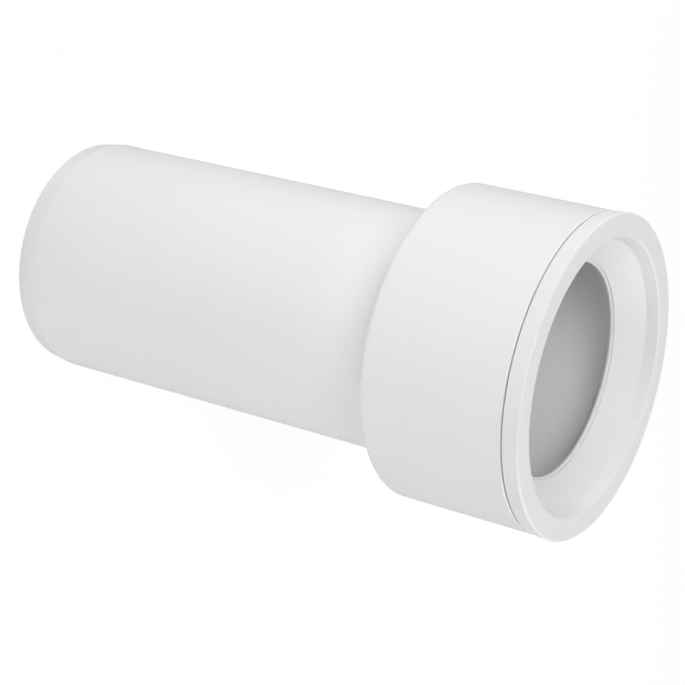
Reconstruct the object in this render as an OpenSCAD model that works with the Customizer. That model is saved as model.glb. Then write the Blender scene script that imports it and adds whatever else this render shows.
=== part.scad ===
// Urinal connector: a straight plastic spigot with a short socket at its top, and a soft seal ring
// pushed into the socket's mouth. It stands on the spigot's end with the mouth up. Millimetres.

/* [Spigot] */
// Outside diameter of the spigot, which pushes into a 50 mm waste
spigot_d = 50; // [48:0.5:54]
// Wall of the spigot
spigot_wall = 2.2; // [1.6:0.1:3.2]
// Length of the spigot, from its end to the shoulder
spigot_len = 90.9; // [60:0.1:140]
// Length of the lead-in taper at the spigot's end
lead_len = 4.4; // [2:0.1:8]
// How far the lead-in taper draws the spigot's end in, on the radius
lead_in = 0.75; // [0.4:0.05:1.2]
// Rounding of the edge where the lead-in taper ends
lead_round = 0.5; // [0.2:0.1:1.5]
// Rounding of the spigot's end, outside and inside
end_round = 0.4; // [0.2:0.05:0.6]

/* [Socket] */
// Outside diameter of the socket
socket_d = 64.6; // [62:0.1:72]
// Length of the socket, from the shoulder to its rim
socket_len = 30.5; // [22:0.1:50]
// Wall of the socket round its chamber
socket_wall = 3.4; // [3.1:0.1:4.2]
// Thickness of the shoulder between spigot and socket
shoulder_t = 3; // [2:0.1:5]
// Rounding of the shoulder's outer edge
shoulder_round = 1.3; // [0.5:0.1:2.5]
// Fillet where the spigot runs into the shoulder
root_round = 0.5; // [0.2:0.1:1.5]
// Fillet inside the chamber, at its floor
floor_round = 2; // [0.5:0.1:3]
// Rounding where the chamber's floor drops into the spigot's bore
throat_round = 1; // [0.3:0.1:1.5]
// Rounding of the rim's outer edge
rim_round = 0.3; // [0.1:0.05:0.6]

/* [Seal seat] */
// Depth of the seat that holds the seal, from the rim
seat_depth = 7.5; // [6.5:0.1:10]
// Wall left round the seat
seat_wall = 2; // [1.7:0.1:2.3]
// Depth of the groove round the seat, which the seal's bead snaps into
hold_depth = 0.6; // [0.4:0.05:0.8]
// Height of the hold groove's mouth
hold_h = 2; // [1.6:0.1:2.4]
// Height of the hold groove's middle above the seat's floor
hold_up = 3.2; // [2.4:0.1:3.8]
// Chamfer at the seat's mouth, which leads the seal in
seat_lead = 0.4; // [0.2:0.05:0.6]
// Rounding of the seat floor's inner edge
seat_round = 0.2; // [0.1:0.05:0.3]

/* [Seal flange] */
// Thickness of the flange that lies on the rim
flange_t = 3.5; // [2.5:0.1:6]
// How far the flange's front edge stands out past the socket, on the radius
flange_proud = 0.3; // [0:0.05:1.5]
// Gap that stays between the flange and the rim
flange_gap = 0.3; // [0.1:0.05:0.6]
// Rounding of the flange's front edge
flange_round = 0.5; // [0.2:0.1:1]
// Rounding of the flange's back edge and of the fillet at its root
back_round = 0.3; // [0.1:0.05:0.5]
// Width of the flat front face
face_w = 4.7; // [3.5:0.1:6]

/* [Seal lip] */
// Bore of the lip, which grips the urinal's outlet
lip_d = 43; // [38:0.5:46]
// Drop of the step from the front face to the cone
step_drop = 2.4; // [1.5:0.1:3]
// How far the step draws in, on the radius
step_in = 1.05; // [0.5:0.05:1.5]
// Rounding of the edge where the front face drops into the step
brow_round = 0.5; // [0.2:0.1:0.8]
// Fillet where the step runs into the cone
foot_round = 0.8; // [0.3:0.1:1.5]
// Drop of the cone, from the step to the lip's edge
cone_drop = 5.2; // [4.2:0.1:6]
// Height of the straight land that edges the lip
land_h = 0.4; // [0.3:0.05:1]
// Thickness of the lip below its land
lip_t = 0.9; // [0.7:0.05:1.2]
// Thickness of the seal where the lip leaves the sleeve
root_t = 2.6; // [2:0.1:3.4]
// Fillet behind the lip, where it leaves the sleeve
web_round = 1; // [0.4:0.1:1.4]
// Width of the crease that sets the lip's edge off from the cone
crease_w = 0.4; // [0.2:0.05:0.5]
// Depth of the crease
crease_depth = 0.35; // [0.1:0.05:0.45]
// Width of the lip's edge, between the crease and the bore
edge_w = 0.2; // [0.15:0.05:0.4]
// Rounding of the lip's edge and its crease
edge_round = 0.05; // [0.02:0.01:0.07]

/* [Seal sleeve] */
// Wall of the sleeve that stands in the seat
sleeve_wall = 2.2; // [1.8:0.1:2.6]
// Rounding of the sleeve's end
sleeve_round = 0.2; // [0.1:0.05:0.4]
// Clearance between the seat's wall and the sleeve's ribs
rib_clear = 0.1; // [0.05:0.05:0.3]
// How far the sleeve's ribs stand out, on the radius
rib_out = 0.3; // [0.2:0.05:0.5]
// Height of one rib
rib_h = 0.8; // [0.5:0.1:1]
// Clearance all round the snap bead in its groove
snap_clear = 0.15; // [0.05:0.05:0.25]

/* [Hidden] */
$fn = 180;
// Steps in the arc that rounds one corner of an outline
arc_steps = 6;

spigot_r = spigot_d / 2;
bore_r = spigot_r - spigot_wall;
socket_r = socket_d / 2;
chamber_r = socket_r - socket_wall;
seat_r = socket_r - seat_wall;
floor_z = spigot_len + shoulder_t;
rim_z = spigot_len + socket_len;
seat_z = rim_z - seat_depth;
hold_z = seat_z + hold_up;

flange_z = rim_z + flange_gap;
face_z = flange_z + flange_t;
flange_r = socket_r + flange_proud;
face_r = flange_r - face_w;
cone_r = face_r - step_in;
cone_z = face_z - step_drop;
lip_r = lip_d / 2;
lip_z = cone_z - cone_drop;
rib_r = seat_r - rib_clear;
sleeve_r = rib_r - rib_out;
sleeve_in = sleeve_r - sleeve_wall;
snap_r = seat_r + hold_depth - snap_clear;
// The flanks of ribs, beads and grooves lean in by half of what they stand out
lean = 0.5;
// Height of the snap bead at the sleeve, with its flanks parallel to the groove's
snap_h = hold_h - 2 * snap_clear * norm([1, lean]) + 2 * lean * (seat_r - sleeve_r);
// Down the cone, and from the cone's face into the rubber
down = unit([lip_r - cone_r, -cone_drop]);
inward = [-down[1], down[0]];

function unit(v) = v / norm(v);
function at(c) = [c[0], c[1]];

// Points that round the corner b, which lies between a and c, with the radius b[2]
function corner(a, b, c) =
    b[2] == 0 ? [at(b)] :
    let (
        to_a = unit(at(a) - at(b)),
        to_c = unit(at(c) - at(b)),
        half = acos(to_a * to_c) / 2,
        mid = at(b) + unit(to_a + to_c) * b[2] / sin(half),
        start = at(b) + to_a * b[2] / tan(half) - mid,
        turn = sign(cross(to_a, to_c)) * (2 * half - 180)
    )
    [for (i = [0 : arc_steps])
        let (t = turn * i / arc_steps)
        mid + [start[0] * cos(t) - start[1] * sin(t), start[0] * sin(t) + start[1] * cos(t)]];

// Outline from corners that are each a radius, a height and a rounding
function rounded(corners) =
    let (n = len(corners))
    [for (i = [0 : n - 1]) each corner(corners[(i + n - 1) % n], corners[i], corners[(i + 1) % n])];

// A bead or groove of height h that steps by out from a wall of radius r, as four corners going up
function band(r, out, z, h) = [
    [r, z - h / 2, 0],
    [r + out, z - h / 2 + lean * out, out / 4],
    [r + out, z + h / 2 - lean * out, out / 4],
    [r, z + h / 2, 0],
];
function reverse(list) = [for (i = [len(list) - 1 : -1 : 0]) list[i]];

// The body's section: up the outside, then down through the seat, the chamber and the bore
body_outline = rounded(concat(
    [
        [spigot_r - lead_in, 0, end_round],
        [spigot_r, lead_len, lead_round],
        [spigot_r, spigot_len, root_round],
        [socket_r, spigot_len, shoulder_round],
        [socket_r, rim_z, rim_round],
        [seat_r + seat_lead, rim_z, 0],
        [seat_r, rim_z - seat_lead, 0],
    ],
    reverse(band(seat_r, hold_depth, hold_z, hold_h)),
    [
        [seat_r, seat_z, 0],
        [chamber_r, seat_z, seat_round],
        [chamber_r, floor_z, floor_round],
        [bore_r, floor_z, throat_round],
        [bore_r, 0, end_round],
    ]
));

// The lip's edge: the crease across the cone, the edge beyond it and the land at the bore
crease_start = [lip_r, lip_z] - down * (edge_w + crease_w);
crease_end = [lip_r, lip_z] - down * edge_w;
lip_edge = [
    concat(crease_start, edge_round),
    concat(crease_start + inward * crease_depth, edge_round),
    concat(crease_end + inward * crease_depth, edge_round),
    concat(crease_end, edge_round),
    [lip_r, lip_z, edge_round],
    [lip_r, lip_z - land_h, edge_round],
    [lip_r + lip_t, lip_z - land_h - lip_t / 2, 2 * edge_round],
];

// The seal's section: in over the front face, down the cone, round the lip's edge and up its back,
// down inside the sleeve, then up its ribs and snap bead to the flange
seal_outline = rounded(concat(
    [
        [flange_r, face_z, flange_round],
        [face_r, face_z, brow_round],
        [cone_r, cone_z, foot_round],
    ],
    lip_edge,
    [
        [sleeve_in, cone_z - root_t, web_round],
        [sleeve_in, seat_z, sleeve_round],
        [sleeve_r, seat_z, sleeve_round],
    ],
    band(sleeve_r, rib_out, seat_z + rib_h, rib_h),
    band(sleeve_r, snap_r - sleeve_r, hold_z, snap_h),
    band(sleeve_r, rib_out, rim_z - seat_lead - rib_h, rib_h),
    [
        [sleeve_r, flange_z, back_round],
        [socket_r, flange_z, back_round],
    ]
));

module body() {
    color("white") rotate_extrude() polygon(body_outline);
}

module seal() {
    color("whitesmoke") rotate_extrude() polygon(seal_outline);
}

body();
seal();
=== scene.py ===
"""Looks of a urinal connector: a gloss white moulded body and the soft satin seal in its mouth."""

import math

import bmesh
import bpy
from mathutils import Matrix, Vector


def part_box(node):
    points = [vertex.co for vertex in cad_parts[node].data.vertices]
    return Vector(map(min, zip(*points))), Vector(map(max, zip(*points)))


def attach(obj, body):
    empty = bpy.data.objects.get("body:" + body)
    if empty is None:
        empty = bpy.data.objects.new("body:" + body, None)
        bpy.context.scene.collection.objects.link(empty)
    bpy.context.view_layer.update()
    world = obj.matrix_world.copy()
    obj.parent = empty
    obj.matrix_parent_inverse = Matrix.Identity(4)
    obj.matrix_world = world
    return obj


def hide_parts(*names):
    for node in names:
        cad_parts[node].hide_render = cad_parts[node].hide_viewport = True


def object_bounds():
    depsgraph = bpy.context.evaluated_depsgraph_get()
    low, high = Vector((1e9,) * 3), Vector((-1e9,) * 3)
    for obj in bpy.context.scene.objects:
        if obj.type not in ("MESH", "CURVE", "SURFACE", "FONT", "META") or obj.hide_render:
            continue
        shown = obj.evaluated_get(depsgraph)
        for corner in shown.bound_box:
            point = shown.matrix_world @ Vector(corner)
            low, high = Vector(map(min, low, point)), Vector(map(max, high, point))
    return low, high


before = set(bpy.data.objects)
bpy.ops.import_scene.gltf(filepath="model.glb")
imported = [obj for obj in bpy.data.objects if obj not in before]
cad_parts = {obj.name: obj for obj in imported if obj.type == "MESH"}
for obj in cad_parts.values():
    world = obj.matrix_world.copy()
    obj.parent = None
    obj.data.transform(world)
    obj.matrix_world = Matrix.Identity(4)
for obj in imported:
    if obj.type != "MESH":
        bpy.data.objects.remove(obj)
cad_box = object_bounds()

MM = 0.001

# The camera, on its side as the photograph has it, with the bore running to the right. Angles in degrees
CAMERA_AIM = Vector((5.5, 0, 68.3)) * MM
CAMERA_AWAY = 422.7 * MM
CAMERA_ABOVE = 29.74
CAMERA_ROLL = 104.44
CAMERA_LENS = 107.6
CAMERA_NEAR = 10 * MM

# Softboxes: azimuth and height in degrees, distance, width and height in metres, and level
SOFTBOXES = {
    "front_left": (-15, 45, 0.9, 0.46, 0.46, 0.456),
    "front_right_low": (15, 15, 0.9, 0.46, 0.46, 0.221),
    "left": (-75, 15, 0.9, 0.46, 0.46, 0.198),
    "left_low": (-105, 7, 0.9, 0.46, 0.22, 0.255),
    "right_low": (105, 7, 0.9, 0.46, 0.22, 0.277),
    "back_right": (135, 45, 0.9, 0.46, 0.46, 0.381),
    "top": (-150, 75, 0.9, 0.46, 0.46, 0.206),
}

# The floor and the backdrop: how much of the floor is plain white to the camera and to gloss, and how white
FLOOR_R = 3
FLOOR_WHITE = 0.75
CAMERA_WHITE = 1.1
MIRROR_WHITE = 0.5

# Sizes of the seal's flange, cone and lip that its box doesn't give
FLANGE_THICK = 3.5 * MM
FLANGE_PROUD = 0.3 * MM
FLANGE_ROUND = 0.5 * MM
BACK_ROUND = 0.3 * MM
FACE_WIDE = 4.7 * MM
BROW_ROUND = 0.5 * MM
STEP_DROP = 2.4 * MM
STEP_IN = 1.05 * MM
FOOT_ROUND = 0.8 * MM
CONE_DROP = 5.2 * MM
CREASE_WIDE = 0.4 * MM
CREASE_DEEP = 0.35 * MM
EDGE_WIDE = 0.2 * MM
EDGE_ROUND = 0.05 * MM
LIP_R = 21.5 * MM
LIP_LAND = 0.4 * MM
LIP_THICK = 0.9 * MM
ROOT_THICK = 2.6 * MM
WEB_ROUND = 1 * MM

# Sizes of the sleeve that stands in the seat, with its ribs and its snap bead
SLEEVE_OUT = 29.9 * MM
SLEEVE_IN = 27.7 * MM
SLEEVE_ROUND = 0.2 * MM
SEAT_LEAD = 0.4 * MM
RIB_OUT = 0.3 * MM
RIB_TALL = 0.8 * MM
BEAD_OUT = 0.85 * MM
BEAD_TALL = 2.5 * MM
BEAD_UP = 3.2 * MM

TURNS = 320
CORNER_STEPS = 5


class Socket:
    """An output of a shader node. Python's operators on it add Math nodes."""

    def __init__(self, finish, output):
        self.finish = finish
        self.output = output

    def maths(self, operation, first, second):
        return self.finish.node("ShaderNodeMath", {"operation": operation}, {0: first, 1: second})

    def __add__(self, other):
        return self.maths("ADD", self, other)

    def __radd__(self, other):
        return self.maths("ADD", other, self)

    def __mul__(self, other):
        return self.maths("MULTIPLY", self, other)

    def __rmul__(self, other):
        return self.maths("MULTIPLY", other, self)


class Finish:
    """The nodes of a material, or of a world."""

    def __init__(self, owner):
        owner.use_nodes = True
        self.owner = owner
        self.tree = owner.node_tree
        self.tree.nodes.clear()

    def node(self, kind, settings=None, sockets=None, output=0):
        """Adds a node with its settings and its sockets' values or links. Returns one of its outputs."""
        made = self.tree.nodes.new(kind)
        for name, value in (settings or {}).items():
            setattr(made, name, value)
        for name, value in (sockets or {}).items():
            if isinstance(value, Socket):
                self.tree.links.new(value.output, made.inputs[name])
            else:
                made.inputs[name].default_value = value
        return Socket(self, made.outputs[output])

    def noise(self, size, detail=2, stretch=(1, 1, 1)):
        """Noise whose patches are about size across, drawn out along the axes by stretch."""
        place = self.node("ShaderNodeTexCoord", output="Object")
        scale = [1 / (size * along) for along in stretch]
        drawn = self.node("ShaderNodeMapping", {}, {"Vector": place, "Scale": scale})
        return self.node("ShaderNodeTexNoise", {}, {"Vector": drawn, "Scale": 1, "Detail": detail})

    def bump(self, height):
        """Relief from a height in millimetres."""
        return self.node("ShaderNodeBump", {}, {"Height": height, "Distance": MM, "Strength": 1})

    def blend(self, share, low, high):
        """A colour that goes from low to high with share."""
        return self.node(
            "ShaderNodeMix",
            {"data_type": "RGBA"},
            {"Factor": share, 6: (*low, 1), 7: (*high, 1)},
            output=2,
        )

    def finish(self, shader, output="ShaderNodeOutputMaterial"):
        """Sends the shader to the output, and returns the material or the world."""
        surface = self.tree.nodes.new(output).inputs["Surface"]
        self.tree.links.new(shader.output, surface)
        return self.owner


def gloss_plastic():
    """White moulded polypropylene: a clean gloss, faint flow along the pipe and a fine orange peel."""
    made = Finish(bpy.data.materials.new("gloss_plastic"))
    cloud = made.noise(26 * MM, 3)
    flow = made.noise(3 * MM, 3, (1, 1, 12))
    peel = made.noise(0.9 * MM, 2)
    wave = made.noise(14 * MM, 1, (1, 1, 2))
    shader = made.node(
        "ShaderNodeBsdfPrincipled",
        {},
        {
            "Base Color": made.blend(cloud, (0.855, 0.855, 0.852), (0.885, 0.885, 0.885)),
            "Roughness": 0.16 + 0.08 * flow + 0.05 * cloud,
            "IOR": 1.49,
            "Normal": made.bump(wave * 0.008 + flow * 0.001 + peel * 0.0008),
        },
    )
    return made.finish(shader)


def seal_rubber():
    """Soft white rubber: satin, with a fine grain from its mould."""
    made = Finish(bpy.data.materials.new("seal_rubber"))
    cloud = made.noise(9 * MM, 3)
    grain = made.noise(0.35 * MM, 3)
    wave = made.noise(6 * MM, 1)
    shader = made.node(
        "ShaderNodeBsdfPrincipled",
        {},
        {
            "Base Color": made.blend(cloud, (0.835, 0.835, 0.832), (0.865, 0.865, 0.865)),
            "Roughness": 0.42 + 0.1 * grain + 0.06 * cloud,
            "IOR": 1.45,
            "Normal": made.bump(wave * 0.012 + grain * 0.004),
        },
    )
    return made.finish(shader)


def backdrop_white(made):
    """Which rays see a backdrop as white, and how strongly it shines for the camera and for gloss."""
    camera_ray = made.node("ShaderNodeLightPath", output="Is Camera Ray")
    gloss_ray = made.node("ShaderNodeLightPath", output="Is Glossy Ray")
    glass_ray = made.node("ShaderNodeLightPath", output="Is Transmission Ray")
    mirrors = gloss_ray + glass_ray
    return camera_ray + mirrors, camera_ray * CAMERA_WHITE + mirrors * MIRROR_WHITE


def white_floor():
    """A matt floor that the camera sees as plain white, with what shadow falls on it."""
    made = Finish(bpy.data.materials.new("white_floor"))
    seen, strength = backdrop_white(made)
    matt = made.node("ShaderNodeBsdfDiffuse", {}, {"Color": (0.88, 0.88, 0.88, 1)})
    white = made.node("ShaderNodeEmission", {}, {"Strength": strength})
    mixed = made.node("ShaderNodeMixShader", {}, {0: seen * FLOOR_WHITE, 1: matt, 2: white})
    return made.finish(mixed)


def white_world():
    """A world that is white to the camera and to gloss, and doesn't light the object otherwise."""
    made = Finish(bpy.data.worlds.new("studio"))
    _, strength = backdrop_white(made)
    sky = made.node("ShaderNodeBackground", {}, {"Strength": strength})
    return made.finish(sky, "ShaderNodeOutputWorld")


def new_piece(name, bm, material):
    """Makes a smooth object of a finished bmesh."""
    for face in bm.faces:
        face.smooth = True
    mesh = bpy.data.meshes.new(name)
    bm.to_mesh(mesh)
    bm.free()
    mesh.materials.append(material)
    piece = bpy.data.objects.new(name, mesh)
    bpy.context.scene.collection.objects.link(piece)
    return piece


def round_corner(bm, corner, radius):
    """Rounds one corner of a wire outline to a radius."""
    arms = [edge.other_vert(corner).co - corner.co for edge in corner.link_edges]
    half = arms[0].angle(arms[1]) / 2
    bmesh.ops.bevel(
        bm,
        geom=[corner],
        offset=radius / math.tan(half),
        offset_type="OFFSET",
        affect="VERTICES",
        segments=CORNER_STEPS,
        profile=0.5,
        material=-1,
    )


def turned(corners):
    """Spins a closed outline, given by radius, height and rounding at each corner, into a ring."""
    bm = bmesh.new()
    verts = [bm.verts.new((r, 0, z)) for r, z, _ in corners]
    for one, other in zip(verts, verts[1:] + verts[:1]):
        bm.edges.new((one, other))
    for vert, (_, _, radius) in zip(verts, corners):
        if radius:
            round_corner(bm, vert, radius)
    bmesh.ops.spin(
        bm,
        geom=bm.verts[:] + bm.edges[:],
        cent=(0, 0, 0),
        axis=(0, 0, 1),
        angle=2 * math.pi,
        steps=TURNS,
        use_merge=True,
    )
    bmesh.ops.remove_doubles(bm, verts=bm.verts, dist=1e-7)
    bmesh.ops.recalc_face_normals(bm, faces=bm.faces)
    return bm


def bead(out, z, tall):
    """Corners of a bead that stands out from the sleeve, going up, with flanks that lean in."""
    lean = out / 2
    return [
        (SLEEVE_OUT, z - tall / 2, 0),
        (SLEEVE_OUT + out, z - tall / 2 + lean, out / 4),
        (SLEEVE_OUT + out, z + tall / 2 - lean, out / 4),
        (SLEEVE_OUT, z + tall / 2, 0),
    ]


def seal_outline():
    """The seal's section: in over the face, down the cone, round the lip and down the sleeve."""
    seat_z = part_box("seal")[0].z
    face_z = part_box("seal")[1].z
    back_z = face_z - FLANGE_THICK
    socket_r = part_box("body")[1].x
    rim_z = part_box("body")[1].z
    flange_r = socket_r + FLANGE_PROUD
    face_r = flange_r - FACE_WIDE
    cone = Vector((face_r - STEP_IN, face_z - STEP_DROP))
    lip = Vector((LIP_R, cone.y - CONE_DROP))
    up_cone = (cone - lip).normalized()
    inward = Vector((up_cone.y, -up_cone.x))
    crease_in = lip + up_cone * EDGE_WIDE
    crease_out = crease_in + up_cone * CREASE_WIDE
    return [
        (flange_r, face_z, FLANGE_ROUND),
        (face_r, face_z, BROW_ROUND),
        (*cone, FOOT_ROUND),
        (*crease_out, EDGE_ROUND),
        (*(crease_out + inward * CREASE_DEEP), EDGE_ROUND),
        (*(crease_in + inward * CREASE_DEEP), EDGE_ROUND),
        (*crease_in, EDGE_ROUND),
        (*lip, EDGE_ROUND),
        (lip.x, lip.y - LIP_LAND, EDGE_ROUND),
        (lip.x + LIP_THICK, lip.y - LIP_LAND - LIP_THICK / 2, 2 * EDGE_ROUND),
        (SLEEVE_IN, cone.y - ROOT_THICK, WEB_ROUND),
        (SLEEVE_IN, seat_z, SLEEVE_ROUND),
        (SLEEVE_OUT, seat_z, SLEEVE_ROUND),
        *bead(RIB_OUT, seat_z + RIB_TALL, RIB_TALL),
        *bead(BEAD_OUT, seat_z + BEAD_UP, BEAD_TALL),
        *bead(RIB_OUT, rim_z - SEAT_LEAD - RIB_TALL, RIB_TALL),
        (SLEEVE_OUT, back_z, BACK_ROUND),
        (socket_r, back_z, BACK_ROUND),
    ]


def seal():
    """The soft ring in the socket's mouth, in the place of its plain solid."""
    piece = new_piece("seal_ring", turned(seal_outline()), seal_rubber())
    flat = piece.modifiers.new("flat_faces_stay_flat", "WEIGHTED_NORMAL")
    flat.mode = "FACE_AREA"
    flat.keep_sharp = True
    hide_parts("seal")
    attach(piece, "root")


def body():
    """The moulded body keeps its solid and gets its finish."""
    plastic = gloss_plastic()
    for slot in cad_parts["body"].material_slots:
        slot.material = plastic


def floor():
    bm = bmesh.new()
    bmesh.ops.create_circle(bm, cap_ends=True, segments=128, radius=FLOOR_R)
    new_piece("floor", bm, white_floor())


def camera():
    lens = bpy.data.cameras.new("camera")
    lens.lens = CAMERA_LENS
    lens.clip_start = CAMERA_NEAR
    made = bpy.data.objects.new("camera", lens)
    tilt = Matrix.Rotation(math.radians(90 - CAMERA_ABOVE), 4, "X")
    roll = Matrix.Rotation(math.radians(CAMERA_ROLL), 4, "Z")
    back = Matrix.Translation((0, 0, CAMERA_AWAY))
    made.matrix_world = Matrix.Translation(CAMERA_AIM) @ tilt @ roll @ back
    bpy.context.scene.collection.objects.link(made)
    bpy.context.scene.camera = made


def softbox(name, azimuth, above, away, wide, tall, level):
    """A panel of light that faces the object. A level of 1 lights a white face turned to it as plain white."""
    light = bpy.data.lights.new(name, "AREA")
    light.shape = "RECTANGLE"
    light.size = wide
    light.size_y = tall
    light.energy = level * (math.pi * away) ** 2
    panel = bpy.data.objects.new(name, light)
    aim = (cad_box[0] + cad_box[1]) / 2
    turn = Matrix.Rotation(math.radians(azimuth), 4, "Z")
    tilt = Matrix.Rotation(math.radians(90 - above), 4, "X")
    panel.matrix_world = Matrix.Translation(aim) @ turn @ tilt @ Matrix.Translation((0, 0, away))
    bpy.context.scene.collection.objects.link(panel)


def studio():
    """Soft panels of light all round, and a white world."""
    for name, setting in SOFTBOXES.items():
        softbox(name, *setting)
    bpy.context.scene.world = white_world()


camera()
floor()
body()
seal()
studio()

bpy.context.scene.view_settings.view_transform = "Standard"
